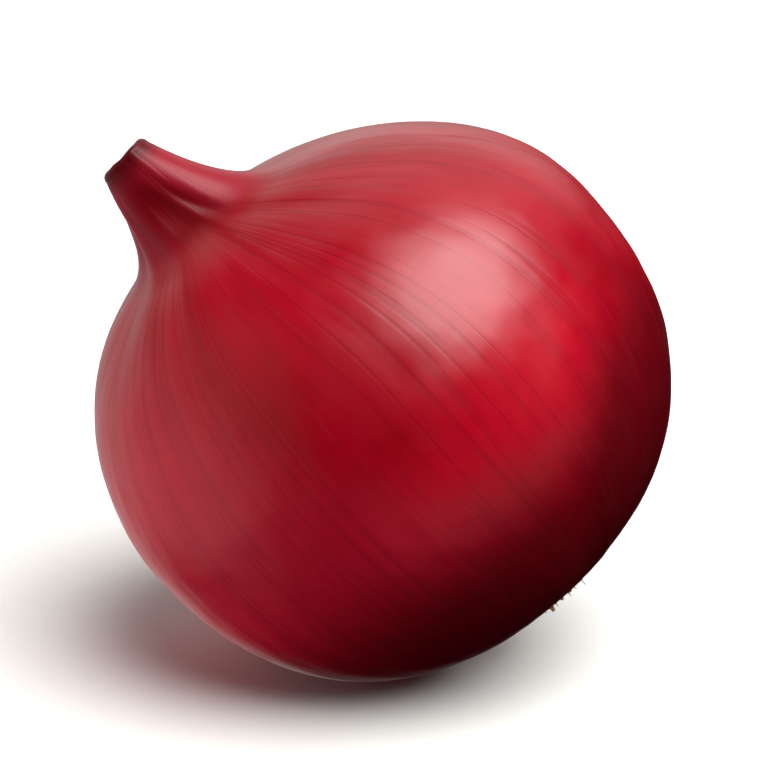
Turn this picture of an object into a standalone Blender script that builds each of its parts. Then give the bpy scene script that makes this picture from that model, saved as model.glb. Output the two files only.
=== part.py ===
"""One whole red onion with its dry skin on, lying as it rolled to rest.

The neck points up to the left and the root end down to the right. Lengths are in
metres, +Z is up, and the origin is the middle of the small flat spot it rests on.
The bulb is worked out along its own axis, with the neck at +Z, and is then tilted.
"""
import math
import random

import bmesh
import bpy
from mathutils import Matrix, Vector

MM = 0.001

# Bulb, measured from its widest section along its own axis
EQUATOR_RADIUS = 37.4 * MM
SHOULDER_HEIGHT = 31.5 * MM
SHOULDER_POWER = 2.05
BASE_DEPTH = 37.0 * MM
BASE_POWER = 2.3
FLANK_LOBES = ((2, 0.010, 20.0), (3, 0.008, 75.0), (5, 0.004, 10.0))

# Neck, the dried leaf bases pinched together
NECK_LENGTH = 43.2 * MM
NECK_RADIUS = 6.6 * MM
NECK_RADIUS_AT = 35.5 * MM
NECK_TAPER = 0.36
NECK_FILLET = 14.2 * MM
FILLET_RADIUS = 14.0 * MM
NECK_LEAN = 4.0 * MM
NECK_LEAN_FROM = 8.0 * MM
NECK_TWIST = math.radians(-2.0) / MM
FOLDS_FROM = 21.0 * MM
FOLDS_FULL = 35.0 * MM
RIM_CLOSING = 0.55

# The way round in degrees, the depth and the width in degrees of each fold in the neck. The one
# with a depth below zero stands out as a full, rounded ridge beside the sharpest crease.
NECK_FOLDS = (
    (12.0, -0.07, 22.0),
    (-27.0, 0.06, 9.0),
    (-57.0, 0.28, 36.0),
    (-104.0, 0.06, 12.0),
    (-137.0, 0.14, 16.0),
    (153.0, 0.30, 20.0),
    (96.0, 0.12, 13.0),
)
TIP_SLANT = 0.9 * MM
TIP_SLANT_ANGLE = math.radians(-60.0)
TIP_RAGS = ((3, 0.14, 1.1), (7, 0.06, 0.4))
TIP_ROUND = 1.5 * MM
TIP_SHARES = (0.92, 0.76, 0.52, 0.26)

# Root end, a dimple with the corky plate and the stubs of the dried roots in it
DIMPLE_DEPTH = 2.6 * MM
DIMPLE_RADIUS = 8.5 * MM
PLATE_RADIUS = 6.3 * MM
PLATE_RIM = 0.7 * MM
PLATE_CROWN = 1.6 * MM
PLATE_GAP = 0.4 * MM
PLATE_KNOBS = 0.35 * MM
PLATE_KNOBS_ROUND = 5
PLATE_KNOB_RINGS = 2
STUB_COUNT = 34
STUB_LENGTH = (0.4 * MM, 1.6 * MM)
STUB_ROOT_RADIUS = 0.55 * MM
STUB_TIP_RADIUS = 0.24 * MM
STUB_SIDES = 5
STUB_STEPS = 4
STUB_SUNK = 1.3 * MM
STUB_SPLAY = (0.6, 1.0)
STUB_RING = 5.3 * MM
STUB_STRAY = 0.2
STUB_CURL = (-0.35, 0.45)
SEED = 7

# Colours as linear red, green and blue
SKIN_COLOUR = (0.33, 0.006, 0.018)
SKIN_ROUGHNESS = 0.38
CORK_COLOUR = (0.29, 0.14, 0.065)
CORK_ROUGHNESS = 0.8

# How it lies
TILT = math.radians(41.0)
FLAT_DEPTH = 1.0 * MM

# Fineness of the solids
SHARP_ANGLE = math.radians(40.0)
SEGMENTS = 72
UPPER_ROWS = 16
NECK_ROWS = 16
LOWER_ROWS = 24
PLATE_ROWS = 6


def clear_scene():
    for thing in list(bpy.data.objects):
        bpy.data.objects.remove(thing, do_unlink=True)


def smoothstep(low, high, value):
    t = min(max((value - low) / (high - low), 0.0), 1.0)
    return t * t * (3.0 - 2.0 * t)


def turn_between(angle, other):
    """The smallest turn from one angle to the other, in radians."""
    return (angle - other + math.pi) % (2.0 * math.pi) - math.pi


def upper_height(radius):
    """Height of the shoulder at a radius, run up into the tapered neck by a fillet."""
    crown = 1.0 - (radius / EQUATOR_RADIUS) ** SHOULDER_POWER
    shoulder = SHOULDER_HEIGHT * crown ** (1.0 / SHOULDER_POWER)
    neck = NECK_RADIUS_AT + (NECK_RADIUS - radius) / NECK_TAPER
    overlap = max(0.0, 1.0 - abs(shoulder - neck) / NECK_FILLET)
    return max(shoulder, neck) + NECK_FILLET * overlap**3 / 6.0


def fold_factor(height, angle):
    """How far the pinched folds draw the skin in, from 1 where there are none."""
    fade = smoothstep(FOLDS_FROM, FOLDS_FULL, height)
    fade *= 1.0 - RIM_CLOSING * smoothstep(NECK_RADIUS_AT, NECK_LENGTH, height)
    twisted = angle - NECK_TWIST * max(0.0, height - FOLDS_FROM)
    drawn_in = 0.0
    for fold_angle, depth, width in NECK_FOLDS:
        turn = turn_between(twisted, math.radians(fold_angle)) / math.radians(width)
        drawn_in += depth * math.exp(-turn * turn)
    return 1.0 - fade * drawn_in


def flank_factor(angle):
    """The slow unevenness of a bulb that grew in the ground."""
    lobes = (size * math.cos(count * angle + math.radians(turn)) for count, size, turn in FLANK_LOBES)
    return 1.0 + sum(lobes)


def skin_point(radius, height, angle):
    """A point of the skin, with lobes on the flanks, folds on the neck and its lean."""
    flank = 1.0 + (flank_factor(angle) - 1.0) * min(1.0, radius / EQUATOR_RADIUS)
    reach = radius * flank * fold_factor(height, angle)
    bend = smoothstep(NECK_LEAN_FROM, NECK_LENGTH, height)
    return Vector((reach * math.cos(angle) - NECK_LEAN * bend, reach * math.sin(angle), height))


def base_height(radius):
    """Height of the root end at a radius, with the dimple drawn up into it."""
    depth = BASE_DEPTH * (1.0 - (radius / EQUATOR_RADIUS) ** BASE_POWER) ** (1.0 / BASE_POWER)
    return DIMPLE_DEPTH * math.exp(-((radius / DIMPLE_RADIUS) ** 2)) - depth


def bulb_rows():
    """Radius and height of every row of the skin, from the rim of the neck to the root end."""
    rim = NECK_RADIUS - NECK_TAPER * (NECK_LENGTH - NECK_RADIUS_AT)
    rows = []
    for row in range(NECK_ROWS):
        radius = rim + (FILLET_RADIUS - rim) * row / NECK_ROWS
        rows.append((radius, upper_height(radius)))
    start = math.acos((FILLET_RADIUS / EQUATOR_RADIUS) ** (SHOULDER_POWER / 2.0))
    for row in range(UPPER_ROWS):
        radius = EQUATOR_RADIUS * math.cos(start * (1.0 - row / UPPER_ROWS)) ** (2.0 / SHOULDER_POWER)
        rows.append((radius, upper_height(radius)))
    for row in range(LOWER_ROWS):
        radius = EQUATOR_RADIUS * math.cos(0.5 * math.pi * row / LOWER_ROWS) ** (2.0 / BASE_POWER)
        rows.append((radius, base_height(radius)))
    return rows


def mesh_object(name, mesh_edit, parent, material):
    """A smooth-shaded object made from a finished bmesh."""
    bmesh.ops.recalc_face_normals(mesh_edit, faces=mesh_edit.faces)
    mesh = bpy.data.meshes.new(name)
    mesh_edit.to_mesh(mesh)
    mesh_edit.free()
    mesh.shade_smooth()
    mesh.set_sharp_from_angle(angle=SHARP_ANGLE)
    mesh.materials.append(material)
    thing = bpy.data.objects.new(name, mesh)
    thing.parent = parent
    bpy.context.scene.collection.objects.link(thing)
    return thing


def ring(mesh_edit, points):
    return [mesh_edit.verts.new(point) for point in points]


def join_rings(mesh_edit, first, second):
    count = len(first)
    for i in range(count):
        j = (i + 1) % count
        mesh_edit.faces.new((first[i], first[j], second[j], second[i]))


def close_ring(mesh_edit, last, middle):
    centre = mesh_edit.verts.new(middle)
    for i in range(len(last)):
        mesh_edit.faces.new((last[i], last[(i + 1) % len(last)], centre))


def plain_material(name, colour, roughness):
    material = bpy.data.materials.new(name)
    material.use_nodes = True
    shader = material.node_tree.nodes["Principled BSDF"]
    shader.inputs["Base Color"].default_value = (*colour, 1.0)
    shader.inputs["Roughness"].default_value = roughness
    shader.inputs["Metallic"].default_value = 0.0
    return material


def tip_slant(angle):
    """The rim of the neck is torn off at a slant, with a few ragged points."""
    ragged = sum(size * math.cos(count * angle + turn) for count, size, turn in TIP_RAGS)
    return TIP_SLANT * (math.cos(angle - TIP_SLANT_ANGLE) + ragged)


def tip_rise(share):
    """Height of the closed tip over its rim, at a share of the rim's radius."""
    sink = 0.5 + 0.5 * math.cos(math.pi * share)
    return TIP_ROUND * (math.sqrt(1.0 - share**4) - sink)


def make_bulb(parent):
    """Globe and neck in one skin, closed by the root end below and a rounded tip above."""
    mesh_edit = bmesh.new()
    angles = [2.0 * math.pi * i / SEGMENTS for i in range(SEGMENTS)]
    rows = bulb_rows()
    rings = []
    for radius, height in rows:
        rise = smoothstep(FOLDS_FULL, NECK_LENGTH, height)
        points = []
        for angle in angles:
            point = skin_point(radius, height, angle)
            point.z += rise * tip_slant(angle)
            points.append(point)
        rings.append(ring(mesh_edit, points))
    for first, second in zip(rings, rings[1:]):
        join_rings(mesh_edit, first, second)
    close_ring(mesh_edit, rings[-1], (0.0, 0.0, base_height(0.0)))

    # The rounded tip: rings that shrink over the rim and sink into the middle of the neck
    rim_radius, rim_height = rows[0]
    last = rings[0]
    for share in TIP_SHARES:
        points = []
        for angle in angles:
            point = skin_point(rim_radius * share, rim_height, angle)
            point.z += tip_slant(angle) * share + tip_rise(share)
            points.append(point)
        inner = ring(mesh_edit, points)
        join_rings(mesh_edit, last, inner)
        last = inner
    close_ring(mesh_edit, last, (-NECK_LEAN, 0.0, rim_height + tip_rise(0.0)))
    skin = plain_material("dry_red_skin", SKIN_COLOUR, SKIN_ROUGHNESS)
    return mesh_object("bulb", mesh_edit, parent, skin)


def plate_point(radius, angle, face):
    """A point of the root plate: face 0 is its back in the dimple, face 1 its knobbly front."""
    share = radius / PLATE_RADIUS
    waves = math.cos(PLATE_KNOBS_ROUND * angle) * math.sin(2.0 * math.pi * PLATE_KNOB_RINGS * share)
    thickness = PLATE_RIM + (PLATE_CROWN + PLATE_KNOBS * waves) * math.sqrt(1.0 - share**4)
    height = base_height(radius) - PLATE_GAP - face * thickness
    return Vector((radius * math.cos(angle), radius * math.sin(angle), height))


def stub_mesh(start, heading, outward, length, curl):
    """One dried root: a tapered tube that curls away from the plate."""
    mesh_edit = bmesh.new()
    side = heading.cross(outward).normalized()
    over = side.cross(heading)
    last = None
    for step in range(STUB_STEPS + 1):
        t = step / STUB_STEPS
        centre = start + heading * (length * t) + over * (curl * length * t * t)
        radius = STUB_ROOT_RADIUS + (STUB_TIP_RADIUS - STUB_ROOT_RADIUS) * t
        points = []
        for corner in range(STUB_SIDES):
            turn = 2.0 * math.pi * corner / STUB_SIDES
            points.append(centre + radius * (math.cos(turn) * side + math.sin(turn) * over))
        current = ring(mesh_edit, points)
        if last is None:
            mesh_edit.faces.new(current)
        else:
            join_rings(mesh_edit, last, current)
        last = current
    mesh_edit.faces.new(last)
    return mesh_edit


def make_root_plate(parent):
    """The corky disc that the roots grew from, with their short dry stubs fused into it."""
    cork = plain_material("dry_root_cork", CORK_COLOUR, CORK_ROUGHNESS)
    mesh_edit = bmesh.new()
    sides = SEGMENTS // 2
    angles = [2.0 * math.pi * i / sides for i in range(sides)]
    rings = []
    for face in (0, 1):
        radii = [PLATE_RADIUS * row / PLATE_ROWS for row in range(1, PLATE_ROWS + 1)]
        if face:
            radii = radii[::-1]
        for radius in radii:
            rings.append(ring(mesh_edit, [plate_point(radius, angle, face) for angle in angles]))
    for first, second in zip(rings, rings[1:]):
        join_rings(mesh_edit, first, second)
    close_ring(mesh_edit, rings[0], plate_point(0.0, 0.0, 0))
    close_ring(mesh_edit, rings[-1], plate_point(0.0, 0.0, 1))
    plate = mesh_object("root_plate", mesh_edit, parent, cork)

    # Stubs stand in the order of seeds on a disc and splay more towards its edge
    stubs = bpy.data.collections.new("root_stubs")
    bpy.context.scene.collection.children.link(stubs)
    draw = random.Random(SEED)
    golden_turn = math.pi * (3.0 - math.sqrt(5.0))
    for i in range(STUB_COUNT):
        share = math.sqrt((i + 0.5) / STUB_COUNT)
        angle = golden_turn * i + draw.uniform(-STUB_STRAY, STUB_STRAY)
        outward = Vector((math.cos(angle), math.sin(angle), 0.0))
        splay = share * draw.uniform(*STUB_SPLAY)
        heading = (splay * outward - Vector((0.0, 0.0, 1.0))).normalized()
        start = plate_point(STUB_RING * share, angle, 1) - heading * STUB_SUNK
        length = STUB_SUNK + draw.uniform(*STUB_LENGTH)
        curl = draw.uniform(*STUB_CURL)
        tube = stub_mesh(start, heading, outward, length, curl)
        stub = mesh_object(f"root_stub_{i:02d}", tube, parent, cork)
        bpy.context.scene.collection.objects.unlink(stub)
        stubs.objects.link(stub)
    fuse = plate.modifiers.new("fuse_stubs", "BOOLEAN")
    fuse.operation = "UNION"
    fuse.operand_type = "COLLECTION"
    fuse.collection = stubs
    fuse.solver = "EXACT"
    apply_modifiers(plate)
    for stub in list(stubs.objects):
        bpy.data.objects.remove(stub, do_unlink=True)
    bpy.data.collections.remove(stubs)
    return plate


def apply_modifiers(thing):
    bpy.context.view_layer.update()
    evaluated = thing.evaluated_get(bpy.context.evaluated_depsgraph_get())
    finished = bpy.data.meshes.new_from_object(evaluated)
    thing.modifiers.clear()
    thing.data = finished


def cut_flat_spot(bulb):
    """Wears a flat spot where the bulb meets the table, level with the origin."""
    size = 2.0 * EQUATOR_RADIUS
    mesh_edit = bmesh.new()
    bmesh.ops.create_cube(mesh_edit, size=size, matrix=Matrix.Translation((0.0, 0.0, -size / 2.0)))
    mesh = bpy.data.meshes.new("table_cutter")
    mesh_edit.to_mesh(mesh)
    mesh_edit.free()
    cutter = bpy.data.objects.new("table_cutter", mesh)
    cutter.hide_render = True
    cutter.display_type = "WIRE"
    bpy.context.scene.collection.objects.link(cutter)
    cut = bulb.modifiers.new("flat_spot", "BOOLEAN")
    cut.operation = "DIFFERENCE"
    cut.object = cutter
    cut.solver = "EXACT"


def main():
    clear_scene()
    axis = bpy.data.objects.new("bulb_axis", None)
    axis.rotation_euler = (0.0, -TILT, 0.0)
    bpy.context.scene.collection.objects.link(axis)
    bulb = make_bulb(axis)
    make_root_plate(axis)

    # The axis is raised until only the flat spot's depth is below the table
    bpy.context.view_layer.update()
    tilted = [axis.matrix_world @ vertex.co for vertex in bulb.data.vertices]
    lowest = min(tilted, key=lambda point: point.z)
    axis.location = (-lowest.x, 0.0, -lowest.z - FLAT_DEPTH)
    cut_flat_spot(bulb)


main()
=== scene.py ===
"""A whole red onion lying on a pale table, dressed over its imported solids."""

import math
import random

import bmesh
import bpy
import numpy as np
from mathutils import Matrix, Vector, noise


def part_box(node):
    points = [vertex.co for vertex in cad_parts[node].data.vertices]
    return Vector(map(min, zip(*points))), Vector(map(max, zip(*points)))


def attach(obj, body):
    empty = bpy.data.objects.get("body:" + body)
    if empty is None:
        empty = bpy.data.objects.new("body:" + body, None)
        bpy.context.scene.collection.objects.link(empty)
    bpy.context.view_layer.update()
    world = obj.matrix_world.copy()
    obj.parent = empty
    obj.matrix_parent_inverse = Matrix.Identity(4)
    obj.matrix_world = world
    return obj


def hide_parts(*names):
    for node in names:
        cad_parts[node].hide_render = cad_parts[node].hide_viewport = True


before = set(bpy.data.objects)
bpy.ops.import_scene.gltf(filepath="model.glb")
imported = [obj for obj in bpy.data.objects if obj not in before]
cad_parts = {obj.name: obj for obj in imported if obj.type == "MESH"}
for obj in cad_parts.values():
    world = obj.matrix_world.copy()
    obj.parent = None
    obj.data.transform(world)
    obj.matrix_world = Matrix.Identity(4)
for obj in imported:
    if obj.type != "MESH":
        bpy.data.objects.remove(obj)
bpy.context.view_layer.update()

# The bulb.
# A whole onion: fleshy layers under thin dry skins that narrow into a pinched, dried neck.
# Only the outermost skin shows. It shrank on as it dried, so its veins run from the root end to
# the neck, the flanks keep shallow dents, and the neck is drawn into a few deep folds.
MM = 0.001
EQUATOR_RADIUS = 37.4 * MM
SHOULDER_HEIGHT = 31.5 * MM
SHOULDER_POWER = 2.05
BASE_DEPTH = 37.0 * MM
BASE_POWER = 2.3
NECK_LENGTH = 43.2 * MM
NECK_RADIUS = 6.6 * MM
NECK_RADIUS_AT = 35.5 * MM
NECK_TAPER = 0.36
NECK_FILLET = 14.2 * MM
FILLET_RADIUS = 14.0 * MM
DIMPLE_DEPTH = 2.6 * MM
DIMPLE_RADIUS = 8.5 * MM
TIP_ROUND = 1.5 * MM
TILT = math.radians(41.0)
FLAT_DEPTH = 1.0 * MM
SKIN_ROUGHNESS = 0.285
NECK_ROUGHNESS = 0.36
RUBBED_ROUGHNESS = 0.06
SKIN_SHINE = 0.5
NECK_SHINE = 0.24
VEIN_DARKNESS = 0.17
FIBRE_PALENESS = 0.08
GRAIN_DEPTH = 0.04 * MM

# The spacing of each pattern in the skin, round the bulb where it is widest and along it
DENT_SPACING = (19.68 * MM, 23.81 * MM)
WRINKLE_SPACING = (8.31 * MM, 20.0 * MM)
VEIN_SPACING = (3.0 * MM, 100.0 * MM)
FIBRE_SPACING = (0.6 * MM, 11.1 * MM)
DRIFT_SPACING = (23.4 * MM, 22.2 * MM)
RUBBED_SPACING = (6.8 * MM, 6.67 * MM)

# The heights on the bulb's own axis at which each change in its skin starts and is full, and the
# unit in which its patterns take a height
# Painted shade darkens the skin between these heights, towards the root end
ROOT_END_PAINTED_SHADE = (-7.0 * MM, -24.0 * MM)
ROOT_END_WEAR = (-20.0 * MM, -30.0 * MM)
# The ring at the neck's foot is part faded skin and part painted sheen
RING_AND_SHEEN_STARTS = (27.0 * MM, 31.0 * MM)
RING_AND_SHEEN_ENDS = (32.0 * MM, 35.0 * MM)
NECK_DRIES = (29.0 * MM, 33.0 * MM)
RIM_DARKENS = (40.5 * MM, 43.5 * MM)
GIRTH_UNIT = 10.0 * MM

# The count round the bulb, the size and the turn of each slow wave in its girth
FLANK_LOBES = ((2, 0.010, 20.0), (3, 0.008, 75.0), (5, 0.004, 10.0))

# The way round in degrees, the depth and the width in degrees of each fold in the neck. The one
# with a depth below zero stands out as a full, rounded ridge beside the sharpest crease.
NECK_FOLDS = (
    (12.0, -0.07, 22.0),
    (-27.0, 0.06, 9.0),
    (-57.0, 0.28, 36.0),
    (-104.0, 0.06, 12.0),
    (-137.0, 0.14, 16.0),
    (153.0, 0.30, 20.0),
    (96.0, 0.12, 13.0),
)

# The count, the size and the turn of each wave in the torn rim of the neck
TIP_RAGS = ((3, 0.14, 1.1), (7, 0.06, 0.4))

# Painted light and shade on the sides of the skin, one row each: which way it lies round the bulb
# and down it, where it starts and is full, how much of it there is at most, and its colour
PAINTED_SIDE_LIGHT = (
    # A redder band of painted reflected light, low on the front right
    ((0.53, -0.848, -0.14), 0.80, 1.04, 0.85, "#9c0018"),
    # A paler flank of painted light on the left
    ((-0.78, -0.62, -0.15), 0.50, 0.85, 0.75, "#a40e26"),
    # Painted shade on the right side
    ((0.91, -0.42, -0.10), 1.00, 1.15, 0.8, "#4a0006"),
)


def linear(sheet_colour):
    """A colour written as sRGB hex, as the linear values that a shader takes."""
    parts = [int(sheet_colour[i:i + 2], 16) / 255.0 for i in (1, 3, 5)]
    lifted = [p / 12.92 if p <= 0.04045 else ((p + 0.055) / 1.055) ** 2.4 for p in parts]
    return (*lifted, 1.0)


def add(tree, kind, sockets=None, **settings):
    """Adds a node and returns its output. A socket takes a value or another node's output."""
    made = tree.nodes.new(kind)
    for name, value in settings.items():
        setattr(made, name, value)
    for key, value in (sockets or {}).items():
        socket = made.inputs[key] if isinstance(key, int) else next(
            s for s in made.inputs if key in (s.identifier, s.name))
        if isinstance(value, bpy.types.NodeSocket):
            tree.links.new(value, socket)
        else:
            socket.default_value = value
    return next((s for s in made.outputs if s.enabled), None)


def new_tree(name, sizes):
    """A Geometry Nodes tree that takes guide lines and named sizes, and gives a mesh."""
    tree = bpy.data.node_groups.new(name, "GeometryNodeTree")
    tree.interface.new_socket("Guides", in_out="INPUT", socket_type="NodeSocketGeometry")
    for size, kind, value in sizes:
        socket = tree.interface.new_socket(size, in_out="INPUT", socket_type="NodeSocket" + kind)
        if value is not None:
            socket.default_value = value
    tree.interface.new_socket("Mesh", in_out="OUTPUT", socket_type="NodeSocketGeometry")
    return tree, add(tree, "NodeGroupInput").node.outputs


def grown_along(name, lines, tree, **values):
    """The mesh that a tree grows from guide lines, as an object of its own."""
    points = [point for line in lines for point in line]
    starts = np.cumsum([0] + [len(line) for line in lines])
    edges = [(i, i + 1) for start, line in zip(starts, lines) for i in range(start, start + len(line) - 1)]
    guide_mesh = bpy.data.meshes.new(name + "_guides")
    guide_mesh.from_pydata(points, edges, [])
    guide = bpy.data.objects.new(name + "_guides", guide_mesh)
    bpy.context.scene.collection.objects.link(guide)
    growing = guide.modifiers.new("grown", "NODES")
    growing.node_group = tree
    for item in tree.interface.items_tree:
        if item.in_out == "INPUT" and item.name in values:
            growing[item.identifier] = values[item.name]
    bpy.context.view_layer.update()
    evaluated = guide.evaluated_get(bpy.context.evaluated_depsgraph_get())
    made = bpy.data.objects.new(name, bpy.data.meshes.new_from_object(evaluated))
    bpy.data.objects.remove(guide, do_unlink=True)
    bpy.context.scene.collection.objects.link(made)
    return made


def upper_height(radius):
    """Height of the shoulder at a radius, run up into the tapered neck by a fillet."""
    crown = max(0.0, 1.0 - (radius / EQUATOR_RADIUS) ** SHOULDER_POWER)
    shoulder = SHOULDER_HEIGHT * crown ** (1.0 / SHOULDER_POWER)
    neck = NECK_RADIUS_AT + (NECK_RADIUS - radius) / NECK_TAPER
    overlap = max(0.0, 1.0 - abs(shoulder - neck) / NECK_FILLET)
    return max(shoulder, neck) + NECK_FILLET * overlap ** 3 / 6.0


def base_height(radius):
    """Height of the root end at a radius, with the dimple drawn up into it."""
    crown = max(0.0, 1.0 - (radius / EQUATOR_RADIUS) ** BASE_POWER)
    depth = BASE_DEPTH * crown ** (1.0 / BASE_POWER)
    return DIMPLE_DEPTH * math.exp(-((radius / DIMPLE_RADIUS) ** 2)) - depth


def bulb_profile(tip_rows=14, neck_rows=70, shoulder_rows=70, base_rows=90, crowding=1.2):
    """Radius, share of the rim's slant, and height, of each row from the tip to the root end.

    The neck's rows crowd towards its rim.
    """
    rim = NECK_RADIUS - NECK_TAPER * (NECK_LENGTH - NECK_RADIUS_AT)
    rows = []
    for row in range(tip_rows):
        share = math.sin(0.5 * math.pi * row / tip_rows)
        sink = 0.5 + 0.5 * math.cos(math.pi * share)
        rows.append((rim * share, share, NECK_LENGTH + TIP_ROUND * (math.sqrt(1.0 - share ** 4) - sink)))
    for row in range(neck_rows):
        radius = rim + (FILLET_RADIUS - rim) * (row / neck_rows) ** crowding
        height = upper_height(radius)
        slant = min(max((height - NECK_RADIUS_AT) / (NECK_LENGTH - NECK_RADIUS_AT), 0.0), 1.0)
        rows.append((radius, slant * slant * (3.0 - 2.0 * slant), height))
    start = math.acos((FILLET_RADIUS / EQUATOR_RADIUS) ** (SHOULDER_POWER / 2.0))
    for row in range(shoulder_rows):
        turn = start * (1.0 - row / shoulder_rows)
        radius = EQUATOR_RADIUS * math.cos(turn) ** (2.0 / SHOULDER_POWER)
        rows.append((radius, 0.0, upper_height(radius)))
    for row in range(base_rows + 1):
        turn = 0.5 * math.pi * row / base_rows
        radius = EQUATOR_RADIUS * max(0.0, math.cos(turn)) ** (2.0 / BASE_POWER)
        rows.append((radius, 0.0, base_height(radius)))
    return rows


def pattern_scale(spacing):
    """What the girth is multiplied by, to lay a pattern at its spacing round the bulb and along it."""
    around, along = spacing
    return (EQUATOR_RADIUS / around, EQUATOR_RADIUS / around, GIRTH_UNIT / along)


def bulb_tree():
    """Turns the profile round the bulb's axis, and works in its lobes, folds, dents and veins."""
    tree, given = new_tree("onion_bulb", (
        ("Sides", "Int", 384),
        ("Folds From", "Float", 21.0 * MM),
        ("Folds Full", "Float", 35.0 * MM),
        ("Twist", "Float", math.radians(-2.0) / MM),
        ("Lean", "Float", 4.0 * MM),
        ("Lean From", "Float", 8.0 * MM),
        ("Tip Slant", "Float", 0.9 * MM),
        ("Tip Slant Angle", "Float", math.radians(-60.0)),
        ("Wrinkles From", "Float", 29.0 * MM),
        ("Wrinkles Full", "Float", 38.0 * MM),
        ("Wrinkle Depth", "Float", 0.04),
        ("Rim Closing", "Float", 0.55),
        ("Dent Depth", "Float", 1.1 * MM),
        ("Vein Depth", "Float", 0.10 * MM),
        ("Skin", "Material", None),
    ))

    # A grid with a column for each side and a row for each point of the profile
    rows = add(tree, "GeometryNodeAttributeDomainSize", {"Geometry": given["Guides"]})
    columns = add(tree, "ShaderNodeMath", {0: given["Sides"], 1: 1.0}, operation="ADD")
    grid = add(tree, "GeometryNodeMeshGrid", {"Vertices X": columns, "Vertices Y": rows})
    places = add(tree, "ShaderNodeSeparateXYZ", {0: grid.node.outputs["UV Map"]}).node.outputs
    last_row = add(tree, "ShaderNodeMath", {0: rows, 1: 1.0}, operation="SUBTRACT")
    row = add(tree, "ShaderNodeMath", {0: places["Y"], 1: last_row}, operation="MULTIPLY")
    row = add(tree, "ShaderNodeMath", {0: row}, operation="ROUND")
    here = add(tree, "GeometryNodeInputPosition")
    point = add(tree, "GeometryNodeSampleIndex", {"Geometry": given["Guides"], "Value": here, "Index": row},
                data_type="FLOAT_VECTOR")
    radius, slant, height = add(tree, "ShaderNodeSeparateXYZ", {0: point}).node.outputs
    angle = add(tree, "ShaderNodeMath", {0: places["X"], 1: 2.0 * math.pi}, operation="MULTIPLY")

    # The way round as a circle, and the height in centimetres, which the patterns are laid by
    across = add(tree, "ShaderNodeMath", {0: angle}, operation="COSINE")
    ahead = add(tree, "ShaderNodeMath", {0: angle}, operation="SINE")
    risen = add(tree, "ShaderNodeMath", {0: height, 1: 1.0 / GIRTH_UNIT}, operation="MULTIPLY")
    girth = add(tree, "ShaderNodeCombineXYZ", {"X": across, "Y": ahead, "Z": risen})

    # The slow unevenness of a bulb that grew in the ground
    lobes = add(tree, "ShaderNodeMath", {0: 0.0, 1: 0.0}, operation="ADD")
    for count, size, turn in FLANK_LOBES:
        wave = add(tree, "ShaderNodeMath", {0: angle, 1: float(count), 2: math.radians(turn)},
                   operation="MULTIPLY_ADD")
        crest = add(tree, "ShaderNodeMath", {0: wave}, operation="COSINE")
        lobes = add(tree, "ShaderNodeMath", {0: crest, 1: size, 2: lobes}, operation="MULTIPLY_ADD")
    fullness = add(tree, "ShaderNodeMath", {0: radius, 1: EQUATOR_RADIUS}, operation="DIVIDE")
    flank = add(tree, "ShaderNodeMath", {0: lobes, 1: fullness, 2: 1.0}, operation="MULTIPLY_ADD")

    # Folds that pinch the neck, twisted a little round it, and fading out over the shoulder
    above = add(tree, "ShaderNodeMath", {0: height, 1: given["Folds From"]}, operation="SUBTRACT")
    above = add(tree, "ShaderNodeMath", {0: above, 1: 0.0}, operation="MAXIMUM")
    turned = add(tree, "ShaderNodeMath", {0: above, 1: given["Twist"]}, operation="MULTIPLY")
    twisted = add(tree, "ShaderNodeMath", {0: angle, 1: turned}, operation="SUBTRACT")
    drawn_in = add(tree, "ShaderNodeMath", {0: 0.0, 1: 0.0}, operation="ADD")
    for fold_angle, depth, width in NECK_FOLDS:
        middle = math.radians(fold_angle)
        wrapped = add(tree, "ShaderNodeMath", {0: twisted, 1: middle + math.pi, 2: middle - math.pi},
                      operation="WRAP")
        away = add(tree, "ShaderNodeMath", {0: wrapped, 1: middle}, operation="SUBTRACT")
        away = add(tree, "ShaderNodeMath", {0: away, 1: math.radians(width)}, operation="DIVIDE")
        away = add(tree, "ShaderNodeMath", {0: away, 1: 2.0}, operation="POWER")
        away = add(tree, "ShaderNodeMath", {0: away, 1: -1.0}, operation="MULTIPLY")
        dip = add(tree, "ShaderNodeMath", {0: away}, operation="EXPONENT")
        drawn_in = add(tree, "ShaderNodeMath", {0: dip, 1: depth, 2: drawn_in}, operation="MULTIPLY_ADD")
    fade = add(tree, "ShaderNodeMapRange", {"Value": height, "From Min": given["Folds From"],
                                            "From Max": given["Folds Full"]},
               interpolation_type="SMOOTHSTEP")
    fold = add(tree, "ShaderNodeMath", {0: drawn_in, 1: fade}, operation="MULTIPLY")
    closing = add(tree, "ShaderNodeMapRange", {"Value": height, "From Min": NECK_RADIUS_AT,
                                               "From Max": NECK_LENGTH}, interpolation_type="SMOOTHSTEP")
    closing = add(tree, "ShaderNodeMath", {0: closing, 1: given["Rim Closing"]}, operation="MULTIPLY")
    closing = add(tree, "ShaderNodeMath", {0: 1.0, 1: closing}, operation="SUBTRACT")
    fold = add(tree, "ShaderNodeMath", {0: fold, 1: closing}, operation="MULTIPLY")

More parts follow.
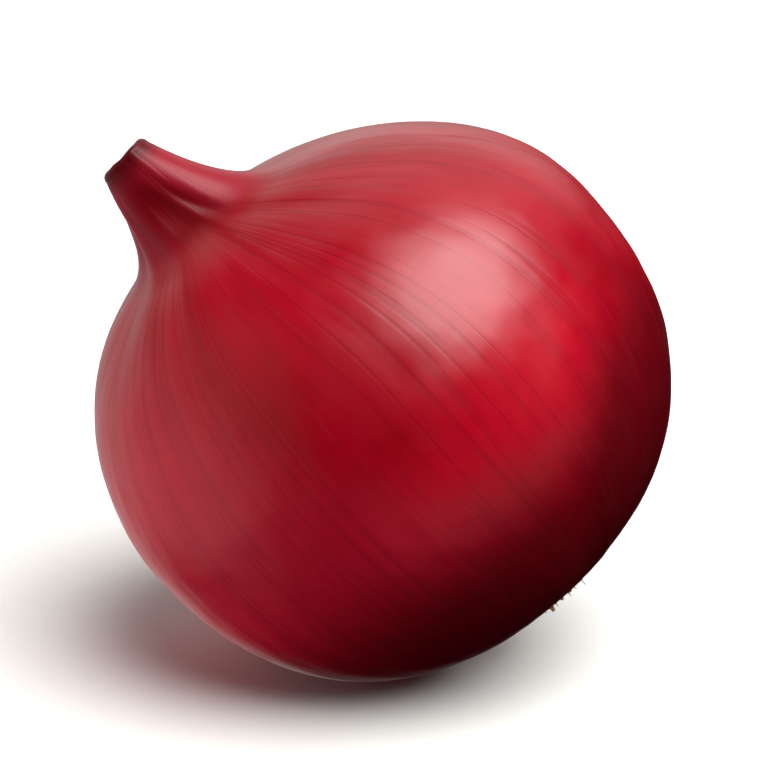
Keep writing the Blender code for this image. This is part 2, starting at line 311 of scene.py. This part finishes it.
    # Small wrinkles between the folds
    wrinkle_place = add(tree, "ShaderNodeVectorMath", {0: girth, 1: pattern_scale(WRINKLE_SPACING)},
                        operation="MULTIPLY")
    wrinkles = add(tree, "ShaderNodeTexNoise", {"Vector": wrinkle_place, "Scale": 1.0, "Detail": 3.0})
    wrinkles = add(tree, "ShaderNodeMath", {0: wrinkles, 1: 0.5}, operation="SUBTRACT")
    wrinkles = add(tree, "ShaderNodeMath", {0: wrinkles, 1: given["Wrinkle Depth"]}, operation="MULTIPLY")
    bunching = add(tree, "ShaderNodeMapRange", {"Value": height, "From Min": given["Wrinkles From"],
                                                "From Max": given["Wrinkles Full"]},
                   interpolation_type="SMOOTHSTEP")
    wrinkles = add(tree, "ShaderNodeMath", {0: wrinkles, 1: bunching}, operation="MULTIPLY")
    pinch = add(tree, "ShaderNodeMath", {0: 1.0, 1: fold}, operation="SUBTRACT")
    pinch = add(tree, "ShaderNodeMath", {0: pinch, 1: wrinkles}, operation="ADD")
    reach = add(tree, "ShaderNodeMath", {0: radius, 1: flank}, operation="MULTIPLY")
    reach = add(tree, "ShaderNodeMath", {0: reach, 1: pinch}, operation="MULTIPLY")

    # The neck leans, and its rim is torn off at a slant
    bend = add(tree, "ShaderNodeMapRange", {"Value": height, "From Min": given["Lean From"],
                                            "From Max": NECK_LENGTH}, interpolation_type="SMOOTHSTEP")
    shift = add(tree, "ShaderNodeMath", {0: bend, 1: given["Lean"]}, operation="MULTIPLY")
    side = add(tree, "ShaderNodeMath", {0: reach, 1: across}, operation="MULTIPLY")
    side = add(tree, "ShaderNodeMath", {0: side, 1: shift}, operation="SUBTRACT")
    front = add(tree, "ShaderNodeMath", {0: reach, 1: ahead}, operation="MULTIPLY")
    tear = add(tree, "ShaderNodeMath", {0: angle, 1: given["Tip Slant Angle"]}, operation="SUBTRACT")
    tear = add(tree, "ShaderNodeMath", {0: tear}, operation="COSINE")
    for count, size, turn in TIP_RAGS:
        wave = add(tree, "ShaderNodeMath", {0: angle, 1: float(count), 2: turn}, operation="MULTIPLY_ADD")
        crest = add(tree, "ShaderNodeMath", {0: wave}, operation="COSINE")
        tear = add(tree, "ShaderNodeMath", {0: crest, 1: size, 2: tear}, operation="MULTIPLY_ADD")
    tear = add(tree, "ShaderNodeMath", {0: tear, 1: given["Tip Slant"]}, operation="MULTIPLY")
    tear = add(tree, "ShaderNodeMath", {0: tear, 1: slant, 2: height}, operation="MULTIPLY_ADD")
    formed = add(tree, "ShaderNodeCombineXYZ", {"X": side, "Y": front, "Z": tear})
    bulb = add(tree, "GeometryNodeSetPosition", {"Geometry": grid, "Position": formed})
    for name, kept, kind in (("girth", girth, "FLOAT_VECTOR"), ("fold", fold, "FLOAT"),
                             ("fullness", fullness, "FLOAT")):
        bulb = add(tree, "GeometryNodeStoreNamedAttribute", {"Geometry": bulb, "Name": name, "Value": kept},
                   data_type=kind)
    bulb = add(tree, "GeometryNodeMergeByDistance", {"Geometry": bulb, "Distance": 0.002 * MM})

    # Dents, and low ridges edged by the coloured veins, stand along the surface's own normal
    dent_place = add(tree, "ShaderNodeVectorMath", {0: girth, 1: pattern_scale(DENT_SPACING)},
                     operation="MULTIPLY")
    dents = add(tree, "ShaderNodeTexNoise", {"Vector": dent_place, "Scale": 1.0, "Detail": 3.0,
                                             "Roughness": 0.55})
    dents = add(tree, "ShaderNodeMath", {0: dents, 1: 0.5}, operation="SUBTRACT")
    dents = add(tree, "ShaderNodeMath", {0: dents, 1: given["Dent Depth"]}, operation="MULTIPLY")
    vein_place = add(tree, "ShaderNodeVectorMath", {0: girth, 1: pattern_scale(VEIN_SPACING)},
                     operation="MULTIPLY")
    veins = add(tree, "ShaderNodeTexNoise", {"Vector": vein_place, "Scale": 1.0, "Detail": 1.0})
    veins = add(tree, "ShaderNodeMath", {0: veins, 1: 0.5}, operation="SUBTRACT")
    relief = add(tree, "ShaderNodeMath", {0: veins, 1: given["Vein Depth"], 2: dents},
                 operation="MULTIPLY_ADD")
    calm = add(tree, "ShaderNodeMath", {0: relief, 1: fullness}, operation="MULTIPLY")
    outward = add(tree, "GeometryNodeInputNormal")
    push = add(tree, "ShaderNodeVectorMath", {0: outward, "Scale": calm}, operation="SCALE")
    bulb = add(tree, "GeometryNodeSetPosition", {"Geometry": bulb, "Offset": push})
    bulb = add(tree, "GeometryNodeSetShadeSmooth", {"Geometry": bulb})
    bulb = add(tree, "GeometryNodeRealizeInstances", {"Geometry": bulb})
    bulb = add(tree, "GeometryNodeSetMaterial", {"Geometry": bulb, "Material": given["Skin"]})
    add(tree, "NodeGroupOutput", {0: bulb})
    return tree


def ramp_over(heights):
    """The sockets of a ramp between two heights, in the unit of the girth."""
    start, full = heights
    return {"From Min": start / GIRTH_UNIT, "From Max": full / GIRTH_UNIT}


def dry_skin():
    """Dry onion skin: a papery tunic that shrank tight, rubbed smooth by handling.

    It is a deep crimson with a satin gloss, with fine darker veins and a finer grain of fibres.
    It is duller in the neck and turns brownish round the root plate. Painted light is mixed into its
    colour too: a redder band, a paler flank, painted shade on one side, towards the root end and in
    the neck's folds, and a painted sheen in the pale ring round the neck's foot.
    """
    skin = bpy.data.materials.new("dry_onion_skin")
    skin.use_nodes = True
    tree = skin.node_tree
    shader = tree.nodes["Principled BSDF"]
    girth = add(tree, "ShaderNodeAttribute", attribute_name="girth").node.outputs["Vector"]
    fold = add(tree, "ShaderNodeAttribute", attribute_name="fold").node.outputs["Fac"]
    height = add(tree, "ShaderNodeSeparateXYZ", {0: girth}).node.outputs["Z"]

    # Slow drifts of tone
    drift_place = add(tree, "ShaderNodeVectorMath", {0: girth, 1: pattern_scale(DRIFT_SPACING)},
                      operation="MULTIPLY")
    drift = add(tree, "ShaderNodeTexNoise", {"Vector": drift_place, "Scale": 1.0, "Detail": 4.0})
    drift = add(tree, "ShaderNodeMapRange", {"Value": drift, "From Min": 0.3, "From Max": 0.7},
                interpolation_type="SMOOTHSTEP")
    tone = add(tree, "ShaderNodeMix", {"Factor": drift, "A_Color": linear("#720008"),
                                       "B_Color": linear("#860014")}, data_type="RGBA")

    # Painted light and shade on its sides: a redder band of painted reflection, a paler lit flank, and a
    # side darkened as painted shade
    for side, start, full, most, painted_tone in PAINTED_SIDE_LIGHT:
        facing = add(tree, "ShaderNodeVectorMath", {0: girth, 1: side}, operation="DOT_PRODUCT")
        facing = add(tree, "ShaderNodeMapRange", {"Value": facing.node.outputs["Value"], "From Min": start,
                                                  "From Max": full, "To Max": most},
                     interpolation_type="SMOOTHSTEP")
        tone = add(tree, "ShaderNodeMix", {"Factor": facing, "A_Color": tone, "B_Color": linear(painted_tone)},
                   data_type="RGBA")

    # Painted shade: the skin is darkened towards the root end, on its shaded underside
    painted_root_shade = add(tree, "ShaderNodeMapRange", {"Value": height, **ramp_over(ROOT_END_PAINTED_SHADE), "To Max": 0.85},
                 interpolation_type="SMOOTHSTEP")
    tone = add(tree, "ShaderNodeMix", {"Factor": painted_root_shade, "A_Color": tone, "B_Color": linear("#4a0006")},
               data_type="RGBA")

    # Thin veins along the middle line between the high and low of a noise drawn out lengthwise
    vein_place = add(tree, "ShaderNodeVectorMath", {0: girth, 1: pattern_scale(VEIN_SPACING)},
                     operation="MULTIPLY")
    veins = add(tree, "ShaderNodeTexNoise", {"Vector": vein_place, "Scale": 1.0, "Detail": 1.0})
    vein_lines = add(tree, "ShaderNodeMath", {0: veins, 1: 0.5}, operation="SUBTRACT")
    vein_lines = add(tree, "ShaderNodeMath", {0: vein_lines}, operation="ABSOLUTE")
    vein_lines = add(tree, "ShaderNodeMapRange", {"Value": vein_lines, "From Max": 0.05, "To Min": 1.0,
                                                  "To Max": 0.0}, interpolation_type="SMOOTHSTEP")
    vein_tone = add(tree, "ShaderNodeMath", {0: vein_lines, 1: VEIN_DARKNESS}, operation="MULTIPLY")
    tone = add(tree, "ShaderNodeMix", {"Factor": vein_tone, "A_Color": tone, "B_Color": linear("#3a0010")},
               data_type="RGBA")
    fibre_place = add(tree, "ShaderNodeVectorMath", {0: girth, 1: pattern_scale(FIBRE_SPACING)},
                      operation="MULTIPLY")
    fibres = add(tree, "ShaderNodeTexNoise", {"Vector": fibre_place, "Scale": 1.0, "Detail": 2.0})
    fibre_tone = add(tree, "ShaderNodeMapRange", {"Value": fibres, "From Min": 0.5, "From Max": 0.75,
                                                  "To Max": FIBRE_PALENESS})
    tone = add(tree, "ShaderNodeMix", {"Factor": fibre_tone, "A_Color": tone, "B_Color": linear("#a02038")},
               data_type="RGBA")

    # Round the root plate the skin is worn thin and brown, in streaks that run out between the veins
    fullness = add(tree, "ShaderNodeAttribute", attribute_name="fullness").node.outputs["Fac"]
    worn = add(tree, "ShaderNodeMath", {0: veins, 1: -0.35, 2: fullness}, operation="MULTIPLY_ADD")
    worn = add(tree, "ShaderNodeMapRange", {"Value": worn, "From Min": 0.0, "From Max": 0.24, "To Min": 0.85,
                                            "To Max": 0.0}, interpolation_type="SMOOTHSTEP")
    root_end = add(tree, "ShaderNodeMapRange", {"Value": height, **ramp_over(ROOT_END_WEAR)})
    worn = add(tree, "ShaderNodeMath", {0: worn, 1: root_end}, operation="MULTIPLY")
    tone = add(tree, "ShaderNodeMix", {"Factor": worn, "A_Color": tone, "B_Color": linear("#86443a")},
               data_type="RGBA")

    # A pale brownish ring at the foot of the neck: partly dry faded skin, partly a painted sheen of
    # reflected light
    ring_low = add(tree, "ShaderNodeMapRange", {"Value": height, **ramp_over(RING_AND_SHEEN_STARTS)},
                   interpolation_type="SMOOTHSTEP")
    ring_high = add(tree, "ShaderNodeMapRange", {"Value": height, **ramp_over(RING_AND_SHEEN_ENDS), "To Min": 0.6,
                                                 "To Max": 0.0}, interpolation_type="SMOOTHSTEP")
    ring = add(tree, "ShaderNodeMath", {0: ring_low, 1: ring_high}, operation="MULTIPLY")
    ring = add(tree, "ShaderNodeMath", {0: ring, 1: drift}, operation="MULTIPLY")
    tone = add(tree, "ShaderNodeMix", {"Factor": ring, "A_Color": tone, "B_Color": linear("#7c3c3a")},
               data_type="RGBA")

    # The neck: dull crimson on the ridges, darkened in the folds by painted shade, and darkest at the torn
    # rim
    dryness = add(tree, "ShaderNodeMapRange", {"Value": height, **ramp_over(NECK_DRIES)},
                  interpolation_type="SMOOTHSTEP")
    painted_fold_shade = add(tree, "ShaderNodeMapRange", {"Value": fold, "From Min": 0.04, "From Max": 0.20})
    neck = add(tree, "ShaderNodeMix", {"Factor": painted_fold_shade, "A_Color": linear("#760c1c"),
                                       "B_Color": linear("#5a0008")}, data_type="RGBA")
    tone = add(tree, "ShaderNodeMix", {"Factor": dryness, "A_Color": tone, "B_Color": neck},
               data_type="RGBA")
    rim = add(tree, "ShaderNodeMapRange", {"Value": height, **ramp_over(RIM_DARKENS)},
              interpolation_type="SMOOTHSTEP")
    tone = add(tree, "ShaderNodeMix", {"Factor": rim, "A_Color": tone, "B_Color": linear("#460008")},
               data_type="RGBA")
    tree.links.new(tone, shader.inputs["Base Color"])

    # Satin on the bulb, rubbed unevenly, and duller on the shrivelled neck
    shine = add(tree, "ShaderNodeMapRange", {"Value": dryness, "To Min": SKIN_SHINE, "To Max": NECK_SHINE})
    tree.links.new(shine, shader.inputs["Specular IOR Level"])
    dullness = add(tree, "ShaderNodeMapRange", {"Value": dryness, "To Min": SKIN_ROUGHNESS,
                                                "To Max": NECK_ROUGHNESS})
    rubbed_place = add(tree, "ShaderNodeVectorMath", {0: girth, 1: pattern_scale(RUBBED_SPACING)},
                       operation="MULTIPLY")
    rubbed = add(tree, "ShaderNodeTexNoise", {"Vector": rubbed_place, "Scale": 1.0, "Detail": 2.0})
    rubbed = add(tree, "ShaderNodeMapRange", {"Value": rubbed, "From Min": 0.35, "From Max": 0.65,
                                              "To Max": RUBBED_ROUGHNESS}, interpolation_type="SMOOTHSTEP")
    dullness = add(tree, "ShaderNodeMath", {0: dullness, 1: rubbed}, operation="ADD")
    tree.links.new(dullness, shader.inputs["Roughness"])
    shader.inputs["IOR"].default_value = 1.46
    shader.inputs["Specular Tint"].default_value = linear("#ffecf0")

    # The veins and fibres stand up a little from the skin, and hardly at all on the neck
    grain = add(tree, "ShaderNodeMath", {0: fibres, 1: 0.4, 2: vein_lines}, operation="MULTIPLY_ADD")
    spread = add(tree, "ShaderNodeMapRange", {"Value": dryness, "To Min": 1.0, "To Max": 0.1})
    grain = add(tree, "ShaderNodeMath", {0: grain, 1: spread}, operation="MULTIPLY")
    bump = add(tree, "ShaderNodeBump", {"Height": grain, "Strength": 0.25, "Distance": GRAIN_DEPTH})
    tree.links.new(bump, shader.inputs["Normal"])
    return skin


bulb = grown_along("onion_bulb", [bulb_profile()], bulb_tree(), Skin=dry_skin())

# The bulb is tilted, pushed as far right as its solid reaches, and sunk by its flat spot's depth
bulb.data.transform(Matrix.Rotation(-TILT, 4, "Y"))
corners = np.array([vertex.co for vertex in bulb.data.vertices])
shift = Vector((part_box("bulb")[1][0] - corners[:, 0].max(), 0.0, -corners[:, 2].min() - FLAT_DEPTH))
bulb.data.transform(Matrix.Translation(shift))
bulb_place = Matrix.Translation(shift) @ Matrix.Rotation(-TILT, 4, "Y")
for vertex in bulb.data.vertices:
    vertex.co.z = max(vertex.co.z, 0.0)
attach(bulb, "root")
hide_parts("bulb")

# The root plate.
# The corky disc in the dimple at the root end, which the roots grew out of. It dried brown, and
# each root broke off short, so the disc bristles with tapering stubs and finer broken fibres.
PLATE_RADIUS = 6.3 * MM
PLATE_RIM = 0.7 * MM
PLATE_CROWN = 1.6 * MM
PLATE_SUNK = 0.3 * MM
PLATE_GAP = 0.4 * MM
PLATE_KNOBS = 0.35 * MM
PLATE_KNOBS_ROUND = 5
PLATE_KNOB_RINGS = 2
CORK_CRUMB = 1.1 * MM
CORK_GRAIN = 0.385 * MM
CORK_GRAIN_SHARE = 0.3
CORK_RELIEF = 0.28 * MM
CORK_PITS = 0.15 * MM
STUB_COUNT = 34
STUB_LENGTH = (0.4 * MM, 1.6 * MM)
STUB_ROOT_RADIUS = 0.55 * MM
STUB_TIP_RADIUS = 0.24 * MM
STUB_SUNK = 1.3 * MM
STUB_SPLAY = (0.6, 1.0)
STUB_CURL = (-0.35, 0.45)
STUB_STRAY = 0.2
STUB_RING = 5.3 * MM
STUB_SEED = 7
FIBRE_COUNT = 130
FIBRE_LENGTH = (0.3 * MM, 1.2 * MM)
FIBRE_RADIUS = 0.13 * MM
FIBRE_TIP_RADIUS = 0.052 * MM
FIBRE_WRINKLE = 0.05 * MM
FIBRE_CURL = (-0.9, 0.9)
FIBRE_SIDES = 5
FIBRE_SEED = 11
GOLDEN_ANGLE = math.pi * (3.0 - math.sqrt(5.0))

# How fast the octaves of the cork's crumb fade, the step between them, and how many there are
CRUMB_OCTAVES = (0.7, 2.0, 4)


def plate_point(radius, angle, face):
    """A point of the plate, where face 0 is the side against the bulb and face 1 is the outer one."""
    share = min(radius / PLATE_RADIUS, 1.0)
    knobs = math.cos(PLATE_KNOBS_ROUND * angle) * math.sin(2.0 * math.pi * PLATE_KNOB_RINGS * share)
    crown = (PLATE_CROWN + PLATE_KNOBS * knobs) * math.sqrt(1.0 - share ** 4)
    height = base_height(radius) - PLATE_GAP - face * (PLATE_RIM + crown)
    return Vector((radius * math.cos(angle), radius * math.sin(angle), height))


def plate_mesh(rings=30, sides=150):
    """The disc, with its inner face sunk into the skin, and a crumbly relief on its outer face."""
    path = [(ring / rings, 0.0) for ring in range(rings + 1)]
    path += [(1.0 - ring / rings, 1.0) for ring in range(rings + 1)]
    points = []
    for share, face in path:
        for side in range(sides):
            point = plate_point(PLATE_RADIUS * share, 2.0 * math.pi * side / sides, face)
            crumb = noise.fractal(point / CORK_CRUMB, *CRUMB_OCTAVES)
            grain = noise.noise(point / CORK_GRAIN)
            point.z += (1.0 - face) * (PLATE_GAP + PLATE_SUNK)
            point.z -= face * CORK_RELIEF * (crumb + CORK_GRAIN_SHARE * grain)
            points.append(point)
    faces = []
    for row in range(len(path) - 1):
        for side in range(sides):
            after = (side + 1) % sides
            faces.append([row * sides + side, row * sides + after,
                          (row + 1) * sides + after, (row + 1) * sides + side])
    mesh = bpy.data.meshes.new("root_plate_disc")
    mesh.from_pydata(points, [], faces)
    disc = bmesh.new()
    disc.from_mesh(mesh)
    bmesh.ops.remove_doubles(disc, verts=disc.verts, dist=0.001 * MM)
    bmesh.ops.recalc_face_normals(disc, faces=disc.faces)
    disc.to_mesh(mesh)
    disc.free()
    mesh.shade_smooth()
    return mesh


def root_lines(count, seed, lengths, curls, steps=7):
    """Lines that splay out of the plate in a sunflower pattern, as its roots did."""
    draw = random.Random(seed)
    lines = []
    for index in range(count):
        share = math.sqrt((index + 0.5) / count)
        angle = GOLDEN_ANGLE * index + draw.uniform(-STUB_STRAY, STUB_STRAY)
        outward = Vector((math.cos(angle), math.sin(angle), 0.0))
        splay = share * draw.uniform(*STUB_SPLAY)
        heading = (splay * outward - Vector((0.0, 0.0, 1.0))).normalized()
        start = plate_point(STUB_RING * share, angle, 1.0) - heading * STUB_SUNK
        length = STUB_SUNK + draw.uniform(*lengths)
        curl = draw.uniform(*curls)
        over = heading.cross(outward).cross(heading)
        shares = [step / (steps - 1) for step in range(steps)]
        lines.append([start + heading * length * t + over * curl * length * t * t for t in shares])
    return lines


def root_tree():
    """Runs a wrinkled tube along each line, tapering from the plate to a broken end."""
    tree, given = new_tree("dried_roots", (
        ("Root Radius", "Float", STUB_ROOT_RADIUS),
        ("Tip Radius", "Float", STUB_TIP_RADIUS),
        ("Sides", "Int", 12),
        ("Rings", "Int", 14),
        ("Wrinkle Depth", "Float", 0.16 * MM),
        ("Wrinkle Length", "Float", 0.5 * MM),
        ("Cork", "Material", None),
    ))
    lines = add(tree, "GeometryNodeMeshToCurve", {"Mesh": given["Guides"]})
    lines = add(tree, "GeometryNodeResampleCurve", {"Curve": lines, "Count": given["Rings"]})
    share = add(tree, "GeometryNodeSplineParameter")
    radius = add(tree, "ShaderNodeMapRange", {"Value": share, "To Min": given["Root Radius"],
                                              "To Max": given["Tip Radius"]})
    ring = add(tree, "GeometryNodeCurvePrimitiveCircle", {"Resolution": given["Sides"], "Radius": 1.0})
    roots = add(tree, "GeometryNodeCurveToMesh", {"Curve": lines, "Profile Curve": ring, "Scale": radius,
                                                  "Fill Caps": True})
    here = add(tree, "GeometryNodeInputPosition")
    wrinkle_scale = add(tree, "ShaderNodeMath", {0: 1.0, 1: given["Wrinkle Length"]}, operation="DIVIDE")
    wrinkles = add(tree, "ShaderNodeTexNoise", {"Vector": here, "Scale": wrinkle_scale, "Detail": 2.0})
    wrinkles = add(tree, "ShaderNodeMath", {0: wrinkles, 1: 0.5}, operation="SUBTRACT")
    wrinkles = add(tree, "ShaderNodeMath", {0: wrinkles, 1: given["Wrinkle Depth"]}, operation="MULTIPLY")
    outward = add(tree, "GeometryNodeInputNormal")
    push = add(tree, "ShaderNodeVectorMath", {0: outward, "Scale": wrinkles}, operation="SCALE")
    roots = add(tree, "GeometryNodeSetPosition", {"Geometry": roots, "Offset": push})
    roots = add(tree, "GeometryNodeSetShadeSmooth", {"Geometry": roots})
    roots = add(tree, "GeometryNodeRealizeInstances", {"Geometry": roots})
    roots = add(tree, "GeometryNodeSetMaterial", {"Geometry": roots, "Material": given["Cork"]})
    add(tree, "NodeGroupOutput", {0: roots})
    return tree


def dried_root_cork(name, light, dark, crumb):
    """Dried root cork: dead root tissue, dried in air, dull and crumbly, tan with browner pits."""
    cork = bpy.data.materials.new(name)
    cork.use_nodes = True
    tree = cork.node_tree
    shader = tree.nodes["Principled BSDF"]
    place = add(tree, "ShaderNodeTexCoord").node.outputs["Object"]
    crumbs = add(tree, "ShaderNodeTexNoise", {"Vector": place, "Scale": 1.0 / crumb, "Detail": 4.0,
                                              "Roughness": 0.6})
    shade = add(tree, "ShaderNodeMapRange", {"Value": crumbs, "From Min": 0.36, "From Max": 0.64})
    tone = add(tree, "ShaderNodeMix", {"Factor": shade, "A_Color": linear(dark), "B_Color": linear(light)},
               data_type="RGBA")
    tree.links.new(tone, shader.inputs["Base Color"])
    matt = add(tree, "ShaderNodeMapRange", {"Value": crumbs, "To Min": 0.95, "To Max": 0.7})
    tree.links.new(matt, shader.inputs["Roughness"])
    shader.inputs["IOR"].default_value = 1.45
    bump = add(tree, "ShaderNodeBump", {"Height": crumbs, "Strength": 0.6, "Distance": CORK_PITS})
    tree.links.new(bump, shader.inputs["Normal"])
    return cork


plate_cork = dried_root_cork("dried_root_plate", "#a07a58", "#5c3b28", 0.9 * MM)
root_cork = dried_root_cork("dried_root", "#b8956e", "#7a5236", 0.5 * MM)
disc = bpy.data.objects.new("root_plate_disc", plate_mesh())
disc.data.materials.append(plate_cork)
bpy.context.scene.collection.objects.link(disc)
stubs = grown_along("root_stubs", root_lines(STUB_COUNT, STUB_SEED, STUB_LENGTH, STUB_CURL),
                    root_tree(), Cork=root_cork)
fibre_sizes = {"Root Radius": FIBRE_RADIUS, "Tip Radius": FIBRE_TIP_RADIUS, "Wrinkle Depth": FIBRE_WRINKLE}
fibres = grown_along("root_fibres", root_lines(FIBRE_COUNT, FIBRE_SEED, FIBRE_LENGTH, FIBRE_CURL),
                     root_tree(), Cork=root_cork, Sides=FIBRE_SIDES, **fibre_sizes)
for piece in (disc, stubs, fibres):
    piece.data.transform(bulb_place)
    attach(piece, "root")
    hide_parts("root_plate")

# The table and the light.
# Matt white paper under the onion, in a small photo tent with a soft round lamp high on the right
# towards the camera. The tent's back and left wall glow, and two low panels light the left flank
# and the root end.
VIEW_ELEVATION = math.radians(20.0)
VIEW_DISTANCE = 0.8
VIEW_AIM = Vector((2.5 * MM, 0.0, 37.5 * MM))
VIEW_FIELD = 100.3 * MM
SENSOR = 36.0
PANEL_SIZE = 1.0
PANEL_DISTANCE = 0.9
FLOOR_REACH = 4.0
PULP_SPACING = 16.7 * MM
TENT_WHITE = 0.97

# The glows in the tent. Each is a product of ramps: a heading, the cosines from it where the ramp
# starts and ends, and how bright it is at its ends. The back of the roof comes first, then the left
# wall and the far corner, then a round lamp with soft edges, and last the faint shine of the
# table's edge in front, which is a strip.
TENT_GLOWS = (
    (((0.05, 0.76, 0.63), 0.70, 0.92, 0.0, 0.9),),
    (((-0.97, -0.145, -0.107), 0.50, 0.88, 0.0, 0.45),),
    (((-0.45, 0.861, -0.207), 0.75, 0.95, 0.0, 0.6),),
    (((0.37, -0.30, 0.876), 0.78, 0.97, 0.0, 10.6),),
    (((0.02, -0.60, 0.80), -0.14, 0.10, 0.0, 1.0), ((0.02, -0.60, 0.80), 0.34, 0.10, 0.0, 1.0),
     ((0.70, -0.60, -0.40), 0.60, 0.95, 0.0, 0.5)),
)


def white_paper():
    """Matt white paper: uncoated, with a faint unevenness in its pulp."""
    paper = bpy.data.materials.new("white_paper")
    paper.use_nodes = True
    tree = paper.node_tree
    shader = tree.nodes["Principled BSDF"]
    place = add(tree, "ShaderNodeTexCoord").node.outputs["Object"]
    pulp = add(tree, "ShaderNodeTexNoise", {"Vector": place, "Scale": 1.0 / PULP_SPACING, "Detail": 3.0})
    tone = add(tree, "ShaderNodeMix", {"Factor": pulp, "A_Color": linear("#cac9c8"),
                                       "B_Color": linear("#cdcccb")}, data_type="RGBA")
    tree.links.new(tone, shader.inputs["Base Color"])
    shader.inputs["Roughness"].default_value = 0.85
    return paper


def panel(name, heading, power):
    """A soft square panel of light on a heading from the onion, which faces it and adds no gloss."""
    light = bpy.data.lights.new(name, "AREA")
    light.shape = "SQUARE"
    light.size = PANEL_SIZE
    light.energy = power
    holder = bpy.data.objects.new(name, light)
    holder.location = VIEW_AIM + Vector(heading).normalized() * PANEL_DISTANCE
    holder.rotation_euler = (VIEW_AIM - holder.location).to_track_quat("-Z", "Y").to_euler()
    holder.visible_glossy = False
    bpy.context.scene.collection.objects.link(holder)


floor_mesh = bpy.data.meshes.new("paper_floor")
floor_corners = [(x * FLOOR_REACH, y * FLOOR_REACH, 0.0) for x, y in ((-1, -1), (1, -1), (1, 1), (-1, 1))]
floor_mesh.from_pydata(floor_corners, [], [(0, 1, 2, 3)])
floor_mesh.materials.append(white_paper())
floor = bpy.data.objects.new("paper_floor", floor_mesh)
bpy.context.scene.collection.objects.link(floor)

# The paper stays out of the skin's gloss and bounces no light at it, and the low panels, which reach
# below its level, shine past it
floor.visible_glossy = False
floor.visible_diffuse = False
floor.visible_shadow = False
panel("lamp_left", (-0.93, 0.0, -0.33), 12.0)
panel("lamp_back", (0.60, 0.78, -0.20), 3.5)


def white_tent():
    """A photo tent that is dark but for its glows, with a wall that the camera sees as plain white."""
    world = bpy.data.worlds.new("white_tent")
    world.use_nodes = True
    tree = world.node_tree
    way = add(tree, "ShaderNodeTexCoord").node.outputs["Generated"]
    brightness = add(tree, "ShaderNodeMath", {0: 0.0, 1: 0.0}, operation="ADD")
    for ramps in TENT_GLOWS:
        glow = add(tree, "ShaderNodeMath", {0: 1.0, 1: 0.0}, operation="ADD")
        for heading, start, end, least, most in ramps:
            facing = add(tree, "ShaderNodeVectorMath", {0: way, 1: Vector(heading).normalized()},
                         operation="DOT_PRODUCT")
            ramp = add(tree, "ShaderNodeMapRange", {"Value": facing.node.outputs["Value"], "From Min": start,
                                                    "From Max": end, "To Min": least, "To Max": most},
                       interpolation_type="SMOOTHSTEP")
            glow = add(tree, "ShaderNodeMath", {0: glow, 1: ramp}, operation="MULTIPLY")
        brightness = add(tree, "ShaderNodeMath", {0: brightness, 1: glow}, operation="ADD")
    seen = add(tree, "ShaderNodeLightPath").node.outputs["Is Camera Ray"]
    strength = add(tree, "ShaderNodeMix", {"Factor": seen, "A_Float": brightness, "B_Float": TENT_WHITE})
    tree.links.new(strength, tree.nodes["Background"].inputs["Strength"])
    tree.nodes["Background"].inputs["Color"].default_value = linear("#fffefb")
    return world


bpy.context.scene.world = white_tent()

lens = bpy.data.cameras.new("camera")
lens.sensor_width = SENSOR
lens.lens = SENSOR * VIEW_DISTANCE / VIEW_FIELD
lens.clip_start = 10.0 * MM
camera = bpy.data.objects.new("camera", lens)
towards_camera = Vector((0.0, -math.cos(VIEW_ELEVATION), math.sin(VIEW_ELEVATION)))
camera.location = VIEW_AIM + towards_camera * VIEW_DISTANCE
camera.rotation_euler = (-towards_camera).to_track_quat("-Z", "Y").to_euler()
bpy.context.scene.collection.objects.link(camera)
bpy.context.scene.camera = camera
bpy.context.scene.view_settings.view_transform = "Standard"
